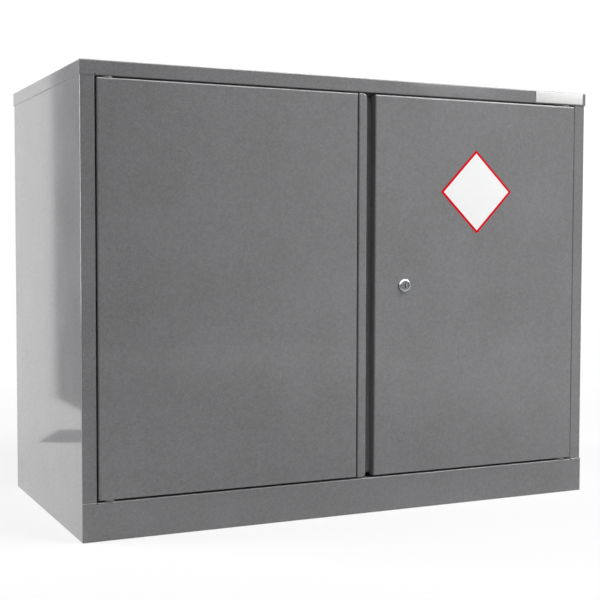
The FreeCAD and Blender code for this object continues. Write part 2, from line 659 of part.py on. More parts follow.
def shoot_bolts():
    """Shoot bolts of the left door, drawn, with the angle that guides each."""
    ends = {"top": ("door_top", None), "bottom": ("door_base", UPSIDE_DOWN)}
    for end, (level, turn) in ends.items():
        bolt = new_body(f"{end}_bolt", "-bolt_across", "bolt_back", level, turn)
        pad(bolt, PLAN, "-bolt_sink - bolt_length", "bolt_length", ("0", "0", "bolt_radius"))
        way = "1" if turn is None else "-1"
        reach = "door_back + knob_reach - bolt_back"
        start = "0" if turn is None else f"-({reach})"
        pad(bolt, FRONT, start, reach, ("0", "-bolt_sink - knob_drop", "knob_radius"))
        guide = new_body(f"{end}_bolt_guide", "-bolt_across", "door_back - sheet", level, turn)
        half = "(bolt_inset - fold - play)"
        back, front = "0", f"{way} * (bolt_back - bolt_radius - weld_flange / 2 - door_back + sheet)"
        path = [(back, "-guide_drop + guide_leg"), (back, "-guide_drop"), (front, "-guide_drop")]
        fold(guide, SIDE, f"-{half}", f"2 * {half}", path, turn is not None, "guide_plate", coined=True)
        drill(guide, PLAN, "-guide_drop", "guide_plate",
              ("0", f"{way} * (bolt_back - door_back + sheet)", "bolt_radius + play"))


def right_door():
    """Right door: pan whose leading edge folds in beside the finger pull, to carry the pull's strip."""
    body = door_pan("right_door_skin", "pull_wall", "door_edge")
    cut(body, PLAN, "0", "door_height",
        rectangle("pull_wall - overrun", "pull_floor", "pull_wall + sheet", "door_back + overrun"))
    inner, end = "pull_wall + sheet", "pull_wall + weld_flange"
    pad(body, PLAN, "0", "door_height",
        rectangle("pull_wall + sheet / 2", "pull_floor - sheet", end, "pull_floor"))
    round_off(body, "bend", ("z", inner, "pull_floor - sheet"), within="door_height - sheet")
    flange = [(inner, "0"), ("door_edge", "0"), ("door_edge", "door_height"), (inner, "door_height"),
              (inner, "door_height - door_flange"), ("door_edge - door_flange", "door_height - door_flange"),
              ("door_edge - door_flange", "door_flange"), (inner, "door_flange")]
    pad(body, FRONT, "door_back - sheet", "sheet", flange)
    bush_hole = square("pivot_across", "pivot_back", "bush_shank / 2 + fit")
    drill(body, PLAN, "0", "sheet", bush_hole, ("lock_across + rod_offset", "rod_back", "rod_radius + play"))
    drill(body, PLAN, "door_height - sheet", "sheet", bush_hole,
          ("lock_across - rod_offset", "rod_back", "rod_radius + play"))
    drill(body, FRONT, "door_face", "sheet", ("lock_across", "lock_rise", "barrel_radius + fit"))
    stiffener("right_door_stiffener", "right_hat_across")


def finger_pull():
    """Finger pull of the right door: a strip that folds from a front lip into a full-height groove."""
    body = new_body("finger_pull_strip", z="door_base")
    inner, lip, end = "door_lead + sheet", "pull_lip_edge", "pull_wall + weld_flange"
    pull = [(inner, "door_face + sheet"), (lip, "door_face + sheet"), (lip, "door_face"),
            ("door_lead", "door_face"), ("door_lead", "pull_floor + sheet"),
            (end, "pull_floor + sheet"), (end, "pull_floor"), (inner, "pull_floor")]
    pad(body, PLAN, "0", "door_height", pull)
    for foot, head in (("-overrun", "pull_relief"), ("door_height - pull_relief", "door_height + overrun")):
        cut(body, FRONT, "pull_floor", "sheet + overrun", rectangle(inner, foot, f"{end} + overrun", head))
    round_off(body, "fold", ("z", "door_lead", "door_face"), ("z", "door_lead", "pull_floor + sheet"))
    round_off(body, "bend", ("z", inner, "door_face + sheet"), ("z", inner, "pull_floor"))
    round_off(body, "pull_top_radius", ("y", lip, "door_height"))
    round_off(body, "pull_foot_radius", ("y", lip, "0"))


def lock():
    """Cam lock: body held by a nut, turning plug, and the crank that drives both rods."""
    place = ("lock_across", "door_face", "lock_height", FACING_FRONT)
    bore = "plug_radius + fit"
    body = new_body("lock_body", *place)
    revolve(body, [(bore, "-barrel_length"), ("barrel_radius", "-barrel_length"), ("barrel_radius", "0"),
                   ("bezel_radius", "0"), ("bezel_radius", "bezel_proud - bezel_bevel"),
                   ("bezel_radius - bezel_bevel", "bezel_proud"), (bore, "bezel_proud")])
    plug = new_body("lock_plug", *place)
    face = "bezel_proud - plug_recess"
    revolve(plug, [("0", "-barrel_length"), ("plug_radius", "-barrel_length"), ("plug_radius", face), ("0", face)])
    half = "crank_square / 2"
    pad(plug, PLAN, "-crank_back", "play + crank_plate + overrun", square("0", "0", half))
    cut(plug, PLAN, f"{face} - key_depth", "key_depth + overrun",
        rectangle("-key_width / 2", "-key_height / 2", "key_width / 2", "key_height / 2"))
    nut = new_body("lock_nut", *place)
    flat, point = "nut_across / 2", "nut_across / sqrt(3)"
    hexagon = [(point, "0"), (f"{point} / 2", flat), (f"-{point} / 2", flat),
               (f"-{point}", "0"), (f"-{point} / 2", f"-{flat}"), (f"{point} / 2", f"-{flat}")]
    pad(nut, PLAN, "-sheet - nut_height", "nut_height", hexagon, ("0", "0", "barrel_radius + fit"))
    slant = FACING_FRONT.multiply(FreeCAD.Rotation(FreeCAD.Vector(0, 0, 1), 45))
    crank = new_body("lock_crank", *place[:3], slant)
    end = "crank_end_radius"
    pad(crank, PLAN, "-crank_back", "crank_plate", rectangle("-crank_throw", f"-{end}", "crank_throw", end))
    for way in SIDES.values():
        pad(crank, PLAN, "-crank_back", "crank_plate", (f"{way} * crank_throw", "0", end))
        pad(crank, PLAN, "-crank_back - crank_pin_length", "crank_pin_length + crank_plate / 2",
            (f"{way} * crank_throw", "0", "crank_pin_radius"))
    side = f"({half} + fit)"
    hole = [(f"{x} * {side} * sqrt(2)", f"{y} * {side} * sqrt(2)") for x, y in ((1, 0), (0, 1), (-1, 0), (0, -1))]
    cut(crank, PLAN, "-crank_back - overrun", "crank_plate + 2 * overrun", hole)


def locking_rods():
    """Locking rods, drawn, each with a slotted eye on a crank pin and an angle that guides it."""
    ends = {"upper": ("-1", None, "door_top - lock_height"), "lower": ("1", UPSIDE_DOWN, "lock_height - door_base")}
    for end, (sign, turn, reach) in ends.items():
        x = f"lock_across + {sign} * rod_offset"
        rod = new_body(f"{end}_rod", x, "rod_back", "lock_height", turn)
        pad(rod, PLAN, "rod_start", f"{reach} - bolt_sink - rod_start", ("0", "0", "rod_radius"))
        pad(rod, FRONT, "-eye_plate / 2", "eye_plate",
            rectangle("-eye_half_width", "-crank_low - eye_end", "eye_half_width", "rod_start + 2 * rod_radius"))
        wide, tall = "(crank_throw - rod_offset + crank_pin_radius + play)", "(crank_pin_radius + eye_slot_play)"
        cut(rod, FRONT, "-eye_plate / 2 - overrun", "eye_plate + 2 * overrun",
            rectangle(f"-{wide}", f"-crank_low - {tall}", wide, f"-crank_low + {tall}"))
        guide = new_body(f"{end}_rod_guide", x, "door_face + sheet", "lock_height", turn)
        level = "rod_guide_distance"
        way = "1" if turn is None else "-1"
        back = f"{way} * (door_depth - sheet - play)"
        path = [("0", f"{level} + guide_leg"), ("0", level), (back, level)]
        fold(guide, SIDE, "-rod_guide_half_width", "2 * rod_guide_half_width", path, turn is None,
             "guide_plate", coined=True)
        drill(guide, PLAN, level, "guide_plate", ("0", f"{way} * (rod_back - door_face - sheet)", "rod_radius + play"))


side_panels()
back_panel()
top_cap()
stop_rail()
plinth()
base_sump()
shelf_uprights()
shelf()
pivots()
buffers()
sill_glide()
left_door()
shoot_bolts()
right_door()
finger_pull()
lock()
locking_rods()

doc.recompute()
for item in doc.Objects:
    if "Invalid" in item.State or "Error" in item.State:
        raise ValueError(f"{item.Label} did not build: {item.State}")
for node in nodes:
    if node.Shape.isNull() or not node.Shape.isValid() or not node.Shape.Solids:
        raise ValueError(f"{node.Label} is not a sound solid")
os.makedirs("parts", exist_ok=True)
for node in nodes:
    node.Shape.exportStep(f"parts/{node.Label}.step")
print(len(nodes), "parts,", sum(len(node.Shape.Solids) for node in nodes), "solids")
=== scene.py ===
# %% [markdown]
# # A low two-door cabinet in powder-coated sheet steel
# The real cabinet is folded and spot-welded from steel sheet one millimetre thick, then coated in one
# go. Its pieces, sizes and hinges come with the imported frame, and nothing here moves or resizes them.
# This lesson dresses that frame: it gives every surface its real finish, and models the small pieces
# that a folded-sheet model leaves out, such as the lock's turned rim, the moulded pads, the bare sign
# and the weld marks.

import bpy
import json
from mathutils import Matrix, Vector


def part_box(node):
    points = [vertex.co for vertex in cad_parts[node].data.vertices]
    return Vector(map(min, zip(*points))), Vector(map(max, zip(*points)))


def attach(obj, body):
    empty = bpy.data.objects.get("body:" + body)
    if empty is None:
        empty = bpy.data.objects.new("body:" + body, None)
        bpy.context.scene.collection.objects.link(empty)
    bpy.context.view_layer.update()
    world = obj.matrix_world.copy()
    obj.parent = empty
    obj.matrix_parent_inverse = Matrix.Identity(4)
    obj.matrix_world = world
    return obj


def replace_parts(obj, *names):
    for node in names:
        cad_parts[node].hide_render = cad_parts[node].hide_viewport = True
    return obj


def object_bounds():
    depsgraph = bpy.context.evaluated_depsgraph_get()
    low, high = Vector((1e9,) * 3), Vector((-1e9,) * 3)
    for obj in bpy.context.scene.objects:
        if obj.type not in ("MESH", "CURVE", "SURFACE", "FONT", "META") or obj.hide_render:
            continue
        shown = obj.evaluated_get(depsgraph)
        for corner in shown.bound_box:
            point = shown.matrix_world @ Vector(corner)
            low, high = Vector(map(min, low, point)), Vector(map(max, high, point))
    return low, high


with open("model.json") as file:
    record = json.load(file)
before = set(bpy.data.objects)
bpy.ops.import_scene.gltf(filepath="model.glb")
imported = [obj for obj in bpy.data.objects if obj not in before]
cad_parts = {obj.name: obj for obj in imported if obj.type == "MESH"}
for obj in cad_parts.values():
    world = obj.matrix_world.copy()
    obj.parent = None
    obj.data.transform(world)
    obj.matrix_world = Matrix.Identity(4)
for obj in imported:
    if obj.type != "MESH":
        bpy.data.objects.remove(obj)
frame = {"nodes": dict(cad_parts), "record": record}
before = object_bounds()

# %% Modules and units
import json
import math

import bmesh
import bpy
from mathutils import Matrix, Vector

MM = 0.001
nodes = frame["nodes"]
cabinet_low, cabinet_high = before
print("cabinet in mm:", [round(side / MM, 1) for side in cabinet_high - cabinet_low])

# %% [markdown]
# ## Colours and nodes
# A colour is written as it looks on a screen, in sRGB hex, because that is how a paint card or a web
# page gives it. Shaders work in linear light, so one function turns the first into the second. A
# second small function adds a node, sets what is named and links what feeds it, which keeps each
# recipe below as short as a list of its ingredients. A third blends two colours, because nearly every
# real surface drifts between two close shades. The Mix node numbers its sockets and doesn't name them
# apart, so the numbers get names here.

# %% Colour and node helpers
FIRST_COLOUR, SECOND_COLOUR, MIXED_COLOUR = 6, 7, 2
FIRST_NUMBER, SECOND_NUMBER = 2, 3
SRGB_KNEE = 0.04045


def linear(code):
    """Turn an sRGB hex colour into the linear colour that a shader takes."""
    shares = [int(code[place:place + 2], 16) / 255 for place in (1, 3, 5)]
    return [part / 12.92 if part <= SRGB_KNEE else ((part + 0.055) / 1.055) ** 2.4
            for part in shares] + [1.0]


def add_node(tree, kind, settings, links=()):
    """Add a node, set its sockets or its own options by name, and link what feeds it."""
    node = tree.nodes.new("ShaderNode" + kind)
    for name, held in settings.items():
        if isinstance(name, int) or name in node.inputs:
            node.inputs[name].default_value = held
        else:
            setattr(node, name, held)
    for name, source in dict(links).items():
        tree.links.new(source, node.inputs[name])
    return node


def blend(tree, first, second, share):
    """Mix two sRGB hex colours by a share that changes over the surface."""
    settings = {"data_type": "RGBA", FIRST_COLOUR: linear(first), SECOND_COLOUR: linear(second)}
    return add_node(tree, "Mix", settings, {0: share}).outputs[MIXED_COLOUR]


def new_finish(name, **shader_settings):
    """Start a material: its tree, its shader, and the object's own coordinates in metres."""
    finish = bpy.data.materials.new(name)
    finish.use_nodes = True
    tree = finish.node_tree
    tree.nodes.clear()
    settings = {word.replace("_", " "): held for word, held in shader_settings.items()}
    shader = add_node(tree, "BsdfPrincipled", settings)
    add_node(tree, "OutputMaterial", {}, {"Surface": shader.outputs["BSDF"]})
    place = add_node(tree, "TexCoord", {}).outputs["Object"]
    return finish, tree, shader, place


print("mid grey in linear light:", [round(part, 3) for part in linear("#808080")[:3]])

# %% [markdown]
# ## Powder coat
# The steel is sprayed with a dry polyester powder, which melts in an oven into one even film. The
# film is semi-gloss: it mirrors a bright wall at a glancing angle, and looks plain grey from the
# front. It sets with a faint orange peel, waves two to three millimetres long, and with fine grains
# in it. The real grains are under half a millimetre, too fine for the picture, so they are drawn
# about a millimetre and a half wide. Two slower patterns, of six and ninety millimetres, make the film
# uneven as a sprayed one is. Molten powder also draws itself round over every fold, so a Bevel node
# bends the light there as if the edge had that radius, and the edge catches a fine bright line.

# %% Powder coat
PEEL_WAVE = 2.6 * MM
GRAIN = 1.5 * MM
MOTTLE = 6 * MM
CLOUD = 90 * MM
FILM_ROUND = 1.9 * MM
CLOUD_SHARE, MOTTLE_SHARE = 0.35, 0.4
PEEL_DEPTH = 0.1 * MM


def powder_coat(name, pale, dark, roughness):
    """Semi-gloss polyester powder coat with its orange peel, grain and slow change of film."""
    finish, tree, shader, place = new_finish(name, IOR=1.52)
    cloud = add_node(tree, "TexNoise", {"Scale": 1 / CLOUD, "Detail": 3.0}, {"Vector": place})
    grain = add_node(tree, "TexNoise", {"Scale": 1 / GRAIN, "Detail": 2.0}, {"Vector": place})
    mottle = add_node(tree, "TexNoise", {"Scale": 1 / MOTTLE, "Detail": 2.0}, {"Vector": place})
    both = add_node(tree, "Math", {"operation": "MULTIPLY_ADD", 1: CLOUD_SHARE},
                    {0: cloud.outputs["Fac"], 2: grain.outputs["Fac"]})
    every = add_node(tree, "Math", {"operation": "MULTIPLY_ADD", 1: MOTTLE_SHARE},
                     {0: mottle.outputs["Fac"], 2: both.outputs[0]})
    shade = add_node(tree, "MapRange", {"From Min": 0.65, "From Max": 1.1}, {"Value": every.outputs[0]})
    gloss = add_node(tree, "MapRange", {"To Min": roughness - 0.02, "To Max": roughness + 0.04},
                     {"Value": cloud.outputs["Fac"]})
    peel = add_node(tree, "TexNoise", {"Scale": 1 / PEEL_WAVE, "Detail": 1.0}, {"Vector": place})
    fold = add_node(tree, "Bevel", {"samples": 8, "Radius": FILM_ROUND})
    waves = add_node(tree, "Bump", {"Strength": 0.03, "Distance": PEEL_DEPTH},
                     {"Height": peel.outputs["Fac"], "Normal": fold.outputs["Normal"]})
    tree.links.new(blend(tree, dark, pale, shade.outputs["Result"]), shader.inputs["Base Color"])
    tree.links.new(gloss.outputs["Result"], shader.inputs["Roughness"])
    tree.links.new(waves.outputs["Normal"], shader.inputs["Normal"])
    return finish


grey_coat = powder_coat("powder_coat_grey", "#7D7D7F", "#6B6B6C", 0.06)
print("made", grey_coat.name)

# %% [markdown]
# ## Zinc plate
# Clips, pins, rods and guides are pressed or cut from mild steel and dipped in a bright zinc bath.
# The plating is thin, so the drawn steel's faint lines still show, and it reflects softly with a cold
# tint. It is a metal, so its colour is its reflection and its IOR stays as it comes.

# %% Zinc plate
DRAWN_LINE = 0.8 * MM
ZINC_PATCH = 12 * MM
LINE_STRETCH = 0.06


def zinc_plate():
    """Bright zinc on drawn steel: soft reflections, broken a little by lines and cloudy patches."""
    finish, tree, shader, place = new_finish("bright_zinc_plate", Metallic=1.0)
    stretched = add_node(tree, "Mapping", {"Scale": (1.0, 1.0, LINE_STRETCH)}, {"Vector": place})
    lines = add_node(tree, "TexNoise", {"Scale": 1 / DRAWN_LINE, "Detail": 2.0},
                     {"Vector": stretched.outputs["Vector"]})
    patches = add_node(tree, "TexNoise", {"Scale": 1 / ZINC_PATCH, "Detail": 3.0}, {"Vector": place})
    colour = blend(tree, "#A9ADB1", "#C9CBCC", patches.outputs["Fac"])
    gloss = add_node(tree, "MapRange", {"To Min": 0.24, "To Max": 0.42}, {"Value": lines.outputs["Fac"]})
    relief = add_node(tree, "Bump", {"Strength": 0.12, "Distance": 0.05 * MM},
                      {"Height": lines.outputs["Fac"]})
    tree.links.new(colour, shader.inputs["Base Color"])
    tree.links.new(gloss.outputs["Result"], shader.inputs["Roughness"])
    tree.links.new(relief.outputs["Normal"], shader.inputs["Normal"])
    return finish


zinc = zinc_plate()
print("made", zinc.name)

# %% [markdown]
# ## Chrome plate
# The lock is a zinc casting, polished and chrome-plated. The plating is nearly a mirror. Keys and
# fingers have dulled it in a haze of fine rubs, which shows as a slow change of gloss. The rim keeps
# its shine. The plug's face and the flat ring round it get a rougher plate, and its colour is painted
# shade: darker, so that they show as dark as the dim room they mirror.

# %% Chrome plate
RUB = 1.2 * MM


def chrome_plate(name, pale, dark, least, most):
    """Polished chrome plate on a die casting, with a light haze of rubs."""
    finish, tree, shader, place = new_finish(name, Metallic=1.0)
    haze = add_node(tree, "TexNoise", {"Scale": 1 / RUB, "Detail": 4.0, "Roughness": 0.7},
                    {"Vector": place})
    gloss = add_node(tree, "MapRange", {"From Min": 0.35, "From Max": 0.7, "To Min": least, "To Max": most},
                     {"Value": haze.outputs["Fac"]})
    tree.links.new(blend(tree, pale, dark, haze.outputs["Fac"]), shader.inputs["Base Color"])
    tree.links.new(gloss.outputs["Result"], shader.inputs["Roughness"])
    return finish


chrome = chrome_plate("chrome_plate", "#AEB0B2", "#A0A2A4", 0.08, 0.2)
# The second plate is painted shade: its colour is darker than the polished one, so the plug's face and flat
# ring mirror the room dimly.
dull_shaded_chrome = chrome_plate("chrome_plate_dulled_and_shaded", "#77797B", "#67686A", 0.24, 0.42)
print("made", chrome.name, "and", dull_shaded_chrome.name)

# %% [markdown]
# ## Nylon, rubber and printed film
# The hinge bushes and the pad on the sill are moulded nylon: grey, a little waxy, with light going a
# short way in. The door pads are black rubber, dull and faintly dusty, and the caps on the knobs are
# black polypropylene. The sign on the door is matt printed film, and the plate on the cap is satin
# aluminium.

# %% Nylon, rubber, film and aluminium


def moulded(name, pale, dark, roughness, patch, **more):
    """A moulded material: one colour that drifts a little, and a skin with a slow unevenness."""
    finish, tree, shader, place = new_finish(name, **more)
    drift = add_node(tree, "TexNoise", {"Scale": 1 / patch, "Detail": 3.0}, {"Vector": place})
    colour = blend(tree, dark, pale, drift.outputs["Fac"])
    gloss = add_node(tree, "MapRange", {"To Min": roughness - 0.06, "To Max": roughness + 0.06},
                     {"Value": drift.outputs["Fac"]})
    relief = add_node(tree, "Bump", {"Strength": 0.08, "Distance": 0.1 * MM},
                      {"Height": drift.outputs["Fac"]})
    tree.links.new(colour, shader.inputs["Base Color"])
    tree.links.new(gloss.outputs["Result"], shader.inputs["Roughness"])
    tree.links.new(relief.outputs["Normal"], shader.inputs["Normal"])
    return finish


nylon = moulded("moulded_nylon", "#636362", "#575756", 0.5, 4 * MM, IOR=1.53,
                Subsurface_Weight=0.1, Subsurface_Scale=1.0 * MM)
rubber = moulded("moulded_rubber", "#2B2B2C", "#1B1B1C", 0.72, 3 * MM, IOR=1.52)
black_plastic = moulded("moulded_black_polypropylene", "#262627", "#1E1E1F", 0.4, 5 * MM, IOR=1.49)
white_film = moulded("printed_film_white", "#F6F6F6", "#F3F3F3", 0.55, 30 * MM, IOR=1.5,
                     Specular_IOR_Level=0.2)
red_film = moulded("printed_film_red", "#DC001A", "#D60018", 0.7, 30 * MM, IOR=1.5,
                   Specular_IOR_Level=0.05)
print("made", ", ".join(finish.name for finish in (nylon, rubber, black_plastic, white_film, red_film)))

# %% Satin aluminium
BRUSH = 0.5 * MM
BRUSH_STRETCH = 0.03


def satin_aluminium():
    """Anodised aluminium foil with a fine horizontal brush, pale from nearly every side."""
    finish, tree, shader, place = new_finish("satin_anodised_aluminium", Metallic=0.1)
    along = add_node(tree, "Mapping", {"Scale": (BRUSH_STRETCH, 1.0, 1.0)}, {"Vector": place})
    brush = add_node(tree, "TexNoise", {"Scale": 1 / BRUSH, "Detail": 2.0},
                     {"Vector": along.outputs["Vector"]})
    colour = blend(tree, "#C6C6C5", "#D0D0CF", brush.outputs["Fac"])
    gloss = add_node(tree, "MapRange", {"To Min": 0.5, "To Max": 0.66}, {"Value": brush.outputs["Fac"]})
    tree.links.new(colour, shader.inputs["Base Color"])
    tree.links.new(gloss.outputs["Result"], shader.inputs["Roughness"])
    return finish


aluminium = satin_aluminium()
print("made", aluminium.name)

# %% [markdown]
# ## Finish the imported pieces
# The record says which material slot each sub-part has, so one table from slot to finish dresses all
# of them. The whole welded carcass and both doors go through the spray booth together, shelf uprights
# and stiffeners too, so they share one coat. The lock's plug then gets the rougher, darker chrome of its
# face, whose darker colour is painted shade.

# %% Finish the imported pieces
FINISHES = {
    "grey_powder_coat": grey_coat, "zinc_plated_steel": zinc, "lock_chrome": chrome,
    "pale_nylon": nylon, "black_rubber": rubber,
}
for subpart in frame["record"]["subparts"]:
    node = nodes[subpart["node"]]
    for held in node.material_slots:
        held.material = FINISHES[subpart["material_slot"]]
# The plug's darker chrome is painted shade.
for held in nodes["lock_plug"].material_slots:
    held.material = dull_shaded_chrome

# %% [markdown]
# ## From a bmesh to a piece
# Every new piece is shaped in a bmesh, with its place in its own points, so its object can stay at
# the origin. One function merges doubled points, turns the faces outwards, smooths all but the real
# corners, and hands the piece to the body that carries it.

# %% From a bmesh to a piece
CORNER = math.radians(38)


def make_piece(name, form, body, slot, *finishes):
    """Turn a finished bmesh into a piece that rides on a body."""
    bmesh.ops.remove_doubles(form, verts=form.verts, dist=0.001 * MM)
    bmesh.ops.recalc_face_normals(form, faces=form.faces)
    mesh = bpy.data.meshes.new(name)
    form.to_mesh(mesh)
    form.free()
    mesh.polygons.foreach_set("use_smooth", [True] * len(mesh.polygons))
    mesh.set_sharp_from_angle(angle=CORNER)
    for finish in finishes:
        mesh.materials.append(finish)
    piece = bpy.data.objects.new(name, mesh)
    bpy.context.scene.collection.objects.link(piece)
    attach(piece, body)
    print(name, "has", len(mesh.polygons), "faces and rides on", body)
    return piece


def block(form, low, high, radius, segments=3):
    """Add a block between two corners, with all its edges rounded."""
    made = bmesh.ops.create_cube(form, size=1.0)["verts"]
    low, high = Vector(low), Vector(high)
    bmesh.ops.scale(form, vec=high - low, verts=made)
    bmesh.ops.translate(form, vec=(low + high) / 2, verts=made)
    edges = {edge for vert in made for edge in vert.link_edges}
    bmesh.ops.bevel(form, geom=list(edges), offset=radius, offset_type="OFFSET", segments=segments,
                    profile=0.5, affect="EDGES", material=-1)


def turned(form, outline, steps, place):
    """Spin an outline of radius and height about the Z axis, and put the turned shape in its place."""
    made = [form.verts.new((radius, 0, height)) for radius, height in outline]
    edges = [form.edges.new(pair) for pair in zip(made, made[1:])]
    start = set(form.verts) - set(made)
    bmesh.ops.spin(form, geom=made + edges, cent=(0, 0, 0), axis=(0, 0, 1), angle=math.tau, steps=steps,
                   use_merge=True)
    bmesh.ops.transform(form, matrix=place, verts=[vert for vert in form.verts if vert not in start])


def arc(centre, radius, start, end, steps):
    """List points on an arc, from one angle in degrees to another."""
    angles = [math.radians(start + (end - start) * step / steps) for step in range(steps + 1)]
    return [(centre[0] + radius * math.cos(angle), centre[1] + radius * math.sin(angle))
            for angle in angles]


FACING_FRONT = Matrix.Rotation(math.radians(90), 4, "X")
FACING_BACK = Matrix.Rotation(math.radians(-90), 4, "X")
print("shaping helpers ready")

# %% [markdown]
# ## Lock rim and barrel
# The lock's case is one casting: a rim that stands on the door, and behind it a threaded barrel that
# a nut pulls tight. The rim is well rounded, and that curve is what mirrors the bright ceiling as a
# crescent. It is a turned shape, so one outline is spun. Its thread is a row of rings, because at one
# millimetre of pitch nobody sees that a ring isn't a helix. The faces inside the rounding get the
# rougher plate whose darker colour is painted shade.

# %% Lock rim and barrel
body_low, body_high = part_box("lock_body")
plug_low, plug_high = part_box("lock_plug")
lock_middle = Vector(((body_low.x + body_high.x) / 2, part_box("right_door_skin")[0].y,
                      (body_low.z + body_high.z) / 2))
rim_radius = (body_high.x - body_low.x) / 2
rim_height = lock_middle.y - body_low.y
barrel_length = body_high.y - lock_middle.y
BARREL_RADIUS = 9.5 * MM
BORE_RADIUS = 7.05 * MM
THREAD_PITCH = 1.0 * MM
THREAD_DEPTH = 0.55 * MM
RIM_ROUND = 3.1 * MM
lock_place = Matrix.Translation(lock_middle) @ FACING_FRONT


def lock_case():
    """Spin the rim, the threaded barrel and the bore as one closed ring."""
    form = bmesh.new()
    outline = [(BORE_RADIUS, -barrel_length), (BARREL_RADIUS - THREAD_DEPTH, -barrel_length)]
    turns = int(barrel_length / THREAD_PITCH) - 2
    for turn in range(turns):
        foot = -barrel_length + (turn + 0.5) * THREAD_PITCH
        outline += [(BARREL_RADIUS - THREAD_DEPTH, foot), (BARREL_RADIUS, foot + THREAD_PITCH / 2)]
    outline += [(BARREL_RADIUS, 0), (rim_radius, 0)]
    outline += arc((rim_radius - RIM_ROUND, rim_height - RIM_ROUND), RIM_ROUND, 0, 90, 10)
    outline += arc((BORE_RADIUS + 0.4 * MM, rim_height - 0.4 * MM), 0.4 * MM, 90, 180, 3)
    outline += [(BORE_RADIUS, -barrel_length)]
    turned(form, outline, 48, lock_place)
    # Faces inside the rounding take the second slot, the darker chrome that is painted shade.
    for face in form.faces:
        middle = face.calc_center_median() - lock_middle
        if Vector((middle.x, middle.z)).length < rim_radius - RIM_ROUND:
            face.material_index = 1
    return make_piece("lock_case", form, "right_door", "lock_chrome", chrome, dull_shaded_chrome)


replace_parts(lock_case(), "lock_body")

# %% [markdown]
# ## Plug face
# The plug turns in the rim. Its face has a raised edge and, round the keyway, two small lips that
# guide the key in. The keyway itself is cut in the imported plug, so only the edge and the lips are
# added, and both turn with it.

# %% Plug face
plug_radius = (plug_high.x - plug_low.x) / 2
plug_face = lock_middle.y - plug_low.y
KEYWAY = (1.6 * MM, 8.5 * MM)


def plug_edge():
    """Raised ring round the plug's face."""
    form = bmesh.new()
    inner, outer, rise = plug_radius - 1.5 * MM, plug_radius - 0.1 * MM, 0.45 * MM
    outline = [(inner, plug_face - 0.2 * MM), (inner + 0.2 * MM, plug_face + rise)]
    outline += arc((outer - 0.3 * MM, plug_face + rise - 0.3 * MM), 0.3 * MM, 90, 0, 3)
    outline += [(outer, plug_face - 0.2 * MM), (inner, plug_face - 0.2 * MM)]
    turned(form, outline, 40, lock_place)
    # The raised edge takes the darker chrome, painted shade.
    return make_piece("plug_edge", form, "lock", "lock_chrome", dull_shaded_chrome)


def keyway_lips():
    """Two rounded lips, one each side of the keyway."""
    form = bmesh.new()
    wide, tall = KEYWAY
    for side in (-1, 1):
        middle = lock_middle.x + side * (wide / 2 + 0.65 * MM)
        low = (middle - 0.5 * MM, plug_low.y - 0.5 * MM, lock_middle.z - tall * 0.3)
        high = (middle + 0.5 * MM, plug_low.y + 0.3 * MM, lock_middle.z + tall * 0.3)
        block(form, low, high, 0.3 * MM)
    return make_piece("keyway_lips", form, "lock", "lock_chrome", chrome)


plug_edge()
keyway_lips()

# %% [markdown]
# ## Crank screw
# Behind the door a screw with a washer holds the crank on the plug's square end. A hexagon head has
# its outer corners turned off by a cone. Here they are cut by beveling the points of the hexagon,
# which looks the same on a head this small.

# %% Crank screw
CRANK_SHEET = 2.0 * MM
HEAD_ACROSS = 7.7 * MM
HEAD_FOOT, HEAD_TOP = 0.8 * MM, 3.2 * MM
CORNER_SHARE = 0.06
CRANK_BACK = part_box("lock_crank")[0].y + CRANK_SHEET


def hexagon(form, across_corners, low, high, place):
    """Add a six-sided block with its upper corners turned off."""
    made = bmesh.ops.create_cone(form, cap_ends=True, segments=6, radius1=across_corners / 2,
                                 radius2=across_corners / 2, depth=high - low)["verts"]
    bmesh.ops.translate(form, vec=(0, 0, (low + high) / 2), verts=made)
    top = [vert for vert in made if vert.co.z > (low + high) / 2]
    bmesh.ops.rotate(form, cent=(0, 0, 0), matrix=Matrix.Rotation(math.radians(30), 3, "Z"), verts=made)
    cut = bmesh.ops.bevel(form, geom=top, offset=across_corners * CORNER_SHARE, offset_type="OFFSET",
                          segments=1, profile=0.5, affect="VERTICES", material=-1)
    bmesh.ops.transform(form, matrix=place, verts=list(set(made + cut["verts"]) & set(form.verts)))


def crank_screw():
    """Hexagon-headed screw and washer on the end of the plug."""
    form = bmesh.new()
    seat = Matrix.Translation((lock_middle.x, CRANK_BACK, lock_middle.z)) @ FACING_BACK
    washer = [(0, 0), (4.5 * MM, 0), (4.5 * MM, 0.6 * MM), (4.2 * MM, HEAD_FOOT), (0, HEAD_FOOT)]
    turned(form, washer, 32, seat)
    hexagon(form, HEAD_ACROSS, HEAD_FOOT, HEAD_TOP, seat)
    return make_piece("crank_screw", form, "lock", "zinc_plated_steel", zinc)


crank_screw()

# %% [markdown]
# ## Moulded pads and bushes
# The parts that meet the doors are moulded: two flanged bushes for each door, a pad on the sill under
# the leading edge, and four rubber pads that quiet the doors. A mould leaves no sharp edge, and that
# is all that sets these simple shapes apart from cut blocks, so they are blocks and turnings with
# their edges rounded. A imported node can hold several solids, so a small function first lists the box
# of each.

# %% Boxes of the solids in a node


def solids_of(name):
    """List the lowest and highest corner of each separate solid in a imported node, lowest first."""
    form = bmesh.new()
    form.from_mesh(nodes[name].data)
    bmesh.ops.remove_doubles(form, verts=form.verts, dist=0.001 * MM)
    waiting, boxes = set(form.verts), []
    while waiting:
        group, found = [], [waiting.pop()]
        while found:
            vert = found.pop()
            group.append(vert.co.copy())
            beside = {edge.other_vert(vert) for edge in vert.link_edges} & waiting
            waiting -= beside
            found += beside
        boxes.append((Vector(map(min, zip(*group))), Vector(map(max, zip(*group)))))
    form.free()
    return sorted(boxes, key=lambda box: tuple(box[0]))


print("rubber pads at x =", [round((low.x + high.x) / 2 / MM) for low, high in solids_of("door_buffers")])

# %% Hinge bushes
BUSH_BORE = 4.05 * MM
BUSH_SHANK = 11 * MM
SHANK_DEPTH = 10 * MM
FLANGE_ROUND = 0.6 * MM


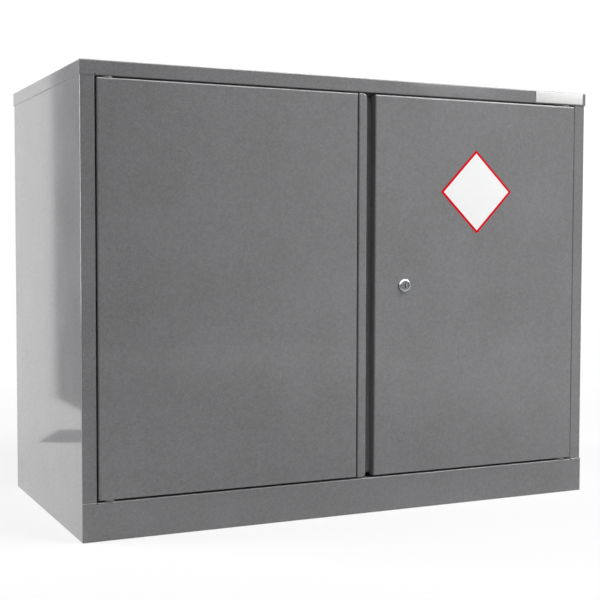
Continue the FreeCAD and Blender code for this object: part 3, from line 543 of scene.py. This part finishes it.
def hinge_bushes(side):
    """Bushes above and below one door: a rounded flange outside, and a square shank in the door."""
    form = bmesh.new()
    door_low, door_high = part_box(f"{side}_door_skin")
    for low, high in solids_of(f"pivot_bushes_{side}"):
        middle, flange = (low + high) / 2, (high.x - low.x) / 2
        upper = middle.z > door_high.z / 2
        level = door_high.z if upper else door_low.z
        thick = high.z - level if upper else level - low.z
        turn = Matrix.Identity(4) if upper else Matrix.Rotation(math.pi, 4, "X")
        outline = [(BUSH_BORE, 0), (flange - FLANGE_ROUND, 0)]
        outline += arc((flange - FLANGE_ROUND, FLANGE_ROUND), FLANGE_ROUND, -90, 0, 3)
        outline += arc((flange - FLANGE_ROUND, thick - FLANGE_ROUND), FLANGE_ROUND, 0, 90, 3)
        outline += [(BUSH_BORE + 0.3 * MM, thick), (BUSH_BORE, thick - 0.3 * MM), (BUSH_BORE, 0)]
        turned(form, outline, 40, Matrix.Translation((middle.x, middle.y, level)) @ turn)
        shank_low = level - SHANK_DEPTH if upper else level
        half = BUSH_SHANK / 2
        block(form, (middle.x - half, middle.y - half, shank_low),
              (middle.x + half, middle.y + half, shank_low + SHANK_DEPTH), 0.5 * MM, 2)
    return make_piece(f"hinge_bushes_{side}", form, f"{side}_door", "pale_nylon", nylon)


for side in ("left", "right"):
    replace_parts(hinge_bushes(side), f"pivot_bushes_{side}")

# %% Sill pad and door pads


def rounded_blocks(name, packed, radius, body, slot, finish):
    """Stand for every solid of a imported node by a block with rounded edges."""
    form = bmesh.new()
    for low, high in solids_of(packed):
        block(form, low, high, radius)
    piece = make_piece(name, form, body, slot, finish)
    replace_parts(piece, packed)


rounded_blocks("sill_pad", "sill_glide", 0.9 * MM, "carcass", "pale_nylon", nylon)
rounded_blocks("door_pads", "door_buffers", 1.1 * MM, "carcass", "black_rubber", rubber)

# %% [markdown]
# ## Caps on the bolts' knobs
# Each shoot bolt of the left door is drawn by a pin that reaches through a slot in the door's rear
# flange. A moulded cap is pressed on the pin, so that a finger finds it. It is a small cup, which is
# a turned shape.

# %% Caps on the bolts' knobs
KNOB_DROP = 65 * MM
CAP_LENGTH = 6.5 * MM


def knob_cap(end):
    """Press a domed cap on the knob of one shoot bolt."""
    form = bmesh.new()
    low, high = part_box(f"{end}_bolt")
    height = high.z - KNOB_DROP if end == "top" else low.z + KNOB_DROP
    inner, outer, crown = 3.0 * MM, 4.4 * MM, 1.8 * MM
    outline = [(inner, 0), (outer - 0.3 * MM, 0), (outer, 0.3 * MM)]
    outline += arc((outer - crown, CAP_LENGTH - crown), crown, 0, 90, 6)
    outline += [(0, CAP_LENGTH), (0, CAP_LENGTH - 1 * MM), (inner, CAP_LENGTH - 1 * MM), (inner, 0)]
    foot = Vector(((low.x + high.x) / 2, high.y + 1 * MM - CAP_LENGTH, height))
    turned(form, outline, 28, Matrix.Translation(foot) @ FACING_BACK)
    make_piece(f"{end}_knob_cap", form, f"{end}_bolt", "black_rubber", black_plastic)


knob_cap("top")
knob_cap("bottom")

# %% [markdown]
# ## Rivets and weld marks
# The guides of rods and bolts are held by small domed rivets. The stiffeners, the finger pull and the
# rear seams are spot-welded: two copper tips squeeze the sheets and leave a shallow ring with a low
# middle, which shows through the coat. Both are the same turned outline many times over, so each set
# is one piece, made in a loop, and each mark has only a few dozen faces. Two small tabs close the
# finger pull's floor, above and below.

# %% Rivets and weld marks
RIVET = [(0, 1.3), (1.0, 1.2), (1.9, 0.8), (2.4, 0.25), (2.5, 0), (2.5, -0.1), (0, -0.1)]
WELD_MARK = [(0, 0.03), (1.5, 0.05), (2.2, 0.16), (2.6, 0.16), (3.1, 0.02), (3.1, -0.1), (0, -0.1)]


def marks(name, outline, steps, spots, facing, body, slot, finish):
    """Set the same small turned mark at every spot."""
    form = bmesh.new()
    scaled = [(radius * MM, height * MM) for radius, height in outline]
    for spot in spots:
        turned(form, scaled, steps, Matrix.Translation(spot) @ facing)
    make_piece(name, form, body, slot, finish)


def row(x, y, low, high, pitch):
    """List spots up a line, a whole number of steps apart, nearest to a pitch."""
    count = round((high - low) / pitch)
    return [Vector((x, y, low + (high - low) * step / count)) for step in range(count + 1)]


WELD_PITCH = 72 * MM
SHEET = 1.0 * MM
FLANGE_MIDDLE = 6 * MM
SEAM_MIDDLE = 7.5 * MM
SEAM_FOOT, SEAM_HEAD = 36 * MM, 676 * MM
for side in ("left", "right"):
    low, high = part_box(f"{side}_door_stiffener")
    rear = low.y + SHEET
    spots = [spot for edge in (low.x + FLANGE_MIDDLE, high.x - FLANGE_MIDDLE)
             for spot in row(edge, rear, low.z + 18 * MM, high.z - 18 * MM, WELD_PITCH)]
    marks(f"stiffener_welds_{side}", WELD_MARK, 16, spots, FACING_BACK, f"{side}_door", "grey_powder_coat",
          grey_coat)

strip_low, strip_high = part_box("finger_pull_strip")
spots = row(strip_high.x - FLANGE_MIDDLE, strip_high.y, strip_low.z + 30 * MM, strip_high.z - 30 * MM,
            WELD_PITCH)
marks("finger_pull_welds", WELD_MARK, 16, spots, FACING_BACK, "right_door", "grey_powder_coat", grey_coat)

panel_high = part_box("side_panel_right")[1]
spots = [spot for side in (-1, 1)
         for spot in row(side * (panel_high.x - SEAM_MIDDLE), panel_high.y, SEAM_FOOT, SEAM_HEAD,
                         WELD_PITCH)]
marks("rear_seam_welds", WELD_MARK, 16, spots, FACING_BACK, "carcass", "grey_powder_coat", grey_coat)

# %% Corner tabs of the finger pull
TAB_HEIGHTS = ((64.5 * MM, 69.6 * MM), (677.4 * MM, 681.0 * MM))
TAB_INSET, TAB_WIDTH = 14.2 * MM, 16 * MM


def corner_tabs():
    """Small welded tabs that close the finger pull's floor at both ends."""
    form = bmesh.new()
    lip = strip_low.x + TAB_INSET
    for low, high in TAB_HEIGHTS:
        block(form, (lip, strip_high.y - SHEET, low), (lip + TAB_WIDTH, strip_high.y, high), 0.3 * MM, 2)
    return make_piece("corner_tabs", form, "right_door", "grey_powder_coat", grey_coat)


corner_tabs()

# %% Rivets of the guides
RIVET_SHIFT = 1 * MM
BOLT_RIVET, ROD_RIVET = 5 * MM, 4.5 * MM
GUIDE_SHEET = 2 * MM
for end, step in (("top", 1), ("bottom", -1)):
    low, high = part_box(f"{end}_bolt_guide")
    height = (low.z + high.z) / 2 + step * RIVET_SHIFT
    spots = [Vector(((low.x + high.x) / 2 + side * BOLT_RIVET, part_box("left_door_skin")[1].y, height))
             for side in (-1, 1)]
    marks(f"{end}_guide_rivets", RIVET, 20, spots, FACING_BACK, "left_door", "zinc_plated_steel", zinc)
for end, step in (("upper", 1), ("lower", -1)):
    low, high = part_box(f"{end}_rod_guide")
    height = (low.z + high.z) / 2 + step * RIVET_SHIFT
    spots = [Vector(((low.x + high.x) / 2 + side * ROD_RIVET, low.y + GUIDE_SHEET, height))
             for side in (-1, 1)]
    marks(f"{end}_guide_rivets", RIVET, 20, spots, FACING_BACK, "right_door", "zinc_plated_steel", zinc)

# %% [markdown]
# ## The bare sign and the bare plate
# A square sign of printed film, 100 mm on each side, stands on its corner on the right door. Here it
# keeps its red edge and its white field, and the field stays bare. Each layer starts as a circle of
# four segments, which is a square on its corner. The smaller white layer lies on the red one. The
# small plate at the right end of the cap is satin aluminium, and it is bare too.

# %% The bare sign
SIGN_SIDE = 100 * MM
FILM_THICKNESS = 0.2 * MM
SIGN_EDGE = 4.0 * MM
SIGN_MIDDLE = (227.6 * MM, 531.3 * MM)
SIGN_TILT = math.radians(1.0)


def bare_sign():
    """Square film on its corner: a red square, and on it a smaller bare white one."""
    form = bmesh.new()
    for side, level, layer in ((SIGN_SIDE, 0, 0), (SIGN_SIDE - 2 * SIGN_EDGE, 1, 1)):
        made = bmesh.ops.create_circle(form, cap_ends=True, segments=4, radius=side / math.sqrt(2))["verts"]
        face = made[0].link_faces[0]
        face.material_index = layer
        raised = bmesh.ops.extrude_face_region(form, geom=[face])["geom"]
        bmesh.ops.translate(form, vec=(0, 0, level * FILM_THICKNESS), verts=made)
        bmesh.ops.translate(form, vec=(0, 0, (level + 1) * FILM_THICKNESS),
                            verts=[item for item in raised if isinstance(item, bmesh.types.BMVert)])
    face_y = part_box("right_door_skin")[0].y
    turn = FACING_FRONT @ Matrix.Rotation(SIGN_TILT, 4, "Z")
    place = Matrix.Translation((SIGN_MIDDLE[0], face_y, SIGN_MIDDLE[1])) @ turn
    bmesh.ops.transform(form, matrix=place, verts=form.verts)
    return make_piece("bare_sign", form, "right_door", "grey_powder_coat", red_film, white_film)


bare_sign()

# %% The bare plate
PLATE_LEFT, PLATE_RIGHT = 350.0 * MM, 451.0 * MM
PLATE_FOOT, PLATE_HEAD = 690.0 * MM, 709.0 * MM
PLATE_THICKNESS = 0.8 * MM
PLATE_ROUND = 0.35 * MM


def bare_plate():
    """Aluminium plate on the cap's front edge."""
    form = bmesh.new()
    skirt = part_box("top_cap")[0].y
    block(form, (PLATE_LEFT, skirt - PLATE_THICKNESS, PLATE_FOOT), (PLATE_RIGHT, skirt, PLATE_HEAD),
          PLATE_ROUND)
    return make_piece("bare_plate", form, "carcass", "lock_chrome", aluminium)


bare_plate()

# %% [markdown]
# ## Floor, flag and mat
# The cabinet stands on a pale floor. To the camera the floor glows as bright as the background, which
# hides the horizon, yet near the cabinet a quarter of what it shows is still lit paint, so the object
# keeps its soft shadow. What the gloss mirrors of the floor is dimmer in front on the left, as in a
# room whose windows are on the right. A grey flag stands far back on the left, and a small mat lies
# before it. The camera doesn't see them, but the glossy left side mirrors the flag as the darker band
# along its front edge, and the mat as the short dark step at its foot.

# %% Floor, flag and mat
FLOOR_SIDE = 6.4
DIM_FLOOR, BRIGHT_FLOOR = 0.45, 1.25
NEAR_GLOW = 0.75
WHITE = (1, 1, 1, 1)


def show_background(tree, plain, shining):
    """Show the shining shader to the camera and in reflections, and the plain one to the light."""
    path = add_node(tree, "LightPath", {})
    mirrored = add_node(tree, "Math", {"operation": "MAXIMUM"},
                        {0: path.outputs["Is Camera Ray"], 1: path.outputs["Is Glossy Ray"]})
    seen = add_node(tree, "Math", {"operation": "MAXIMUM"},
                    {0: mirrored.outputs[0], 1: path.outputs["Is Transmission Ray"]})
    return add_node(tree, "MixShader", {}, {0: seen.outputs[0], 1: plain, 2: shining})


def floor_paint():
    """Pale paint that also glows to the camera, so that its far edge melts into the background."""
    paint = bpy.data.materials.new("pale_floor_paint")
    paint.use_nodes = True
    tree = paint.node_tree
    tree.nodes.clear()
    place = add_node(tree, "TexCoord", {}).outputs["Object"]
    mottle = add_node(tree, "TexNoise", {"Scale": 3.0, "Detail": 3.0}, {"Vector": place})
    colour = blend(tree, "#EFEFEF", "#F4F4F4", mottle.outputs["Fac"])
    lit = add_node(tree, "BsdfDiffuse", {}, {"Color": colour})
    spot = add_node(tree, "SeparateXYZ", {}, {"Vector": place})
    behind = add_node(tree, "MapRange", {"From Min": -0.55, "From Max": -0.25, "To Min": DIM_FLOOR},
                      {"Value": spot.outputs["Y"]})
    aside = add_node(tree, "MapRange",
                     {"From Min": 0.1, "From Max": 1.1, "To Min": DIM_FLOOR, "To Max": BRIGHT_FLOOR},
                     {"Value": spot.outputs["X"]})
    mirrored = add_node(tree, "Math", {"operation": "MAXIMUM"},
                        {0: behind.outputs["Result"], 1: aside.outputs["Result"]})
    path = add_node(tree, "LightPath", {})
    level = add_node(tree, "Mix", {"data_type": "FLOAT", SECOND_NUMBER: 1.0},
                     {0: path.outputs["Is Camera Ray"], FIRST_NUMBER: mirrored.outputs[0]})
    glow = add_node(tree, "Emission", {"Color": WHITE}, {"Strength": level.outputs["Result"]})
    away = add_node(tree, "VectorMath", {"operation": "LENGTH"}, {0: place})
    share = add_node(tree, "MapRange", {"From Min": 0.7, "From Max": 1.8, "To Min": NEAR_GLOW},
                     {"Value": away.outputs["Value"]})
    glowing = add_node(tree, "MixShader", {},
                       {0: share.outputs["Result"], 1: lit.outputs[0], 2: glow.outputs[0]})
    surface = show_background(tree, lit.outputs[0], glowing.outputs[0])
    add_node(tree, "OutputMaterial", {}, {"Surface": surface.outputs[0]})
    return paint


def flag_paint():
    """Dull grey cloth of the flag and the mat."""
    finish, tree, shader, place = new_finish("flag_cloth", Roughness=1.0)
    fold = add_node(tree, "TexNoise", {"Scale": 2.0, "Detail": 2.0}, {"Vector": place})
    tree.links.new(blend(tree, "#6A6A6A", "#808080", fold.outputs["Fac"]), shader.inputs["Base Color"])
    return finish


def sheet_of(name, size, place, finish):
    """Set up a flat rectangle of the studio."""
    form = bmesh.new()
    bmesh.ops.create_grid(form, x_segments=1, y_segments=1, size=0.5)
    bmesh.ops.scale(form, vec=(*size, 1), verts=form.verts)
    bmesh.ops.transform(form, matrix=place, verts=form.verts)
    mesh = bpy.data.meshes.new(name)
    form.to_mesh(mesh)
    form.free()
    mesh.materials.append(finish)
    thing = bpy.data.objects.new(name, mesh)
    bpy.context.scene.collection.objects.link(thing)
    return thing


sheet_of("floor", (FLOOR_SIDE, FLOOR_SIDE), Matrix.Translation((0, 0, -0.2 * MM)), floor_paint())
cloth = flag_paint()
upright = Matrix.Rotation(math.radians(90), 4, "Y")
askew = Matrix.Rotation(0.5, 4, "Z")
flag = sheet_of("flag", (1.3, 0.75), Matrix.Translation((-0.815, 1.045, 0.65)) @ upright, cloth)
mat = sheet_of("mat", (0.14, 0.18), Matrix.Translation((-0.70, 0.72, 1 * MM)) @ askew, cloth)
for thing in (flag, mat):
    thing.visible_camera = False
    thing.visible_shadow = False
print("studio pieces:", flag.name, mat.name, "and floor")

# %% [markdown]
# ## Light
# A long soft lamp hangs high on the right, a second stands far to the right of the camera, and a third
# lights the left side from behind. Their levels are set so that a paint shows about as light as its
# colour is written. The world is pure white for the camera. What the gloss mirrors of it is a room:
# white behind the cabinet, dim behind the camera on the left, lighter towards the right, and brightest
# overhead. A mirrored ceiling that bright is what draws the fine line along every fold and the crescent
# on the lock. The rays that light the scene see a plain grey world instead.

# %% World
DIM_ROOM, BRIGHT_ROOM, CEILING = 0.35, 1.1, 5.0
SOFT_LIGHT = 0.17


def studio_world():
    """White background for the camera, a room for the gloss, and plain soft light for the rest."""
    world = bpy.data.worlds.new("studio")
    bpy.context.scene.world = world
    world.use_nodes = True
    tree = world.node_tree
    tree.nodes.clear()
    direction = add_node(tree, "TexCoord", {}).outputs["Generated"]
    split = add_node(tree, "SeparateXYZ", {}, {"Vector": direction})
    behind = add_node(tree, "MapRange", {"From Min": -0.55, "From Max": 0.05, "To Min": DIM_ROOM},
                      {"Value": split.outputs["Y"]})
    aside = add_node(tree, "MapRange",
                     {"From Min": 0.26, "From Max": 0.46, "To Min": DIM_ROOM, "To Max": BRIGHT_ROOM},
                     {"Value": split.outputs["X"]})
    above = add_node(tree, "MapRange",
                     {"From Min": 0.2, "From Max": 0.4, "To Min": DIM_ROOM, "To Max": CEILING},
                     {"Value": split.outputs["Z"]})
    around = add_node(tree, "Math", {"operation": "MAXIMUM"},
                      {0: behind.outputs["Result"], 1: aside.outputs["Result"]})
    level = add_node(tree, "Math", {"operation": "MAXIMUM"},
                     {0: around.outputs[0], 1: above.outputs["Result"]})
    path = add_node(tree, "LightPath", {})
    strength = add_node(tree, "Math", {"operation": "MAXIMUM"},
                        {0: level.outputs[0], 1: path.outputs["Is Camera Ray"]})
    shown = add_node(tree, "Background", {"Color": WHITE}, {"Strength": strength.outputs[0]})
    light = add_node(tree, "Background", {"Color": WHITE, "Strength": SOFT_LIGHT})
    surface = show_background(tree, light.outputs[0], shown.outputs[0])
    add_node(tree, "OutputWorld", {}, {"Surface": surface.outputs[0]})


studio_world()
print("world ready")

# %% Lamps


def softbox(name, place, target, size, power):
    """Hang a soft lamp that faces a target."""
    lamp = bpy.data.lights.new(name, "AREA")
    lamp.shape = "RECTANGLE"
    lamp.size, lamp.size_y = size
    lamp.energy = power
    holder = bpy.data.objects.new(name, lamp)
    holder.location = place
    holder.rotation_euler = (Vector(target) - Vector(place)).to_track_quat("-Z", "Y").to_euler()
    bpy.context.scene.collection.objects.link(holder)
    print(name, "gives", power, "W")


softbox("overhead_softbox", (1.5, -0.8, 2.4), (1.3, -0.3, 0.3), (2.8, 0.5), 56)
softbox("front_softbox", (2.6, -3.0, 2.0), (0.1, -0.2, 0.4), (1.6, 1.6), 53)
softbox("left_softbox", (-3.0, 1.1, 1.1), (-0.45, 0.0, 0.4), (1.6, 2.0), 120)

# %% [markdown]
# ## Camera
# The camera was worked out from the cabinet's straight edges in the photograph, which meet in three
# vanishing points. It stands at the left, nearly two metres before the doors and lower than the top.

# %% Camera
CAMERA_PLACE = Vector((-904.5, -1925.5, 445.1)) * MM
SENSOR_WIDTH, LENS = 36.0, 70.91
YAW, PITCH, ROLL = (math.radians(angle) for angle in (25.287, -2.793, 0.14))
camera = bpy.data.cameras.new("camera")
camera.sensor_width = SENSOR_WIDTH
camera.lens = LENS
eye = bpy.data.objects.new("camera", camera)
eye.matrix_world = (Matrix.Translation(CAMERA_PLACE) @ Matrix.Rotation(-YAW, 4, "Z")
                    @ Matrix.Rotation(math.radians(90) + PITCH, 4, "X") @ Matrix.Rotation(ROLL, 4, "Z"))
bpy.context.scene.collection.objects.link(eye)
bpy.context.scene.camera = eye
bpy.context.scene.view_settings.view_transform = "Standard"
print("camera at", [round(part, 3) for part in eye.location])
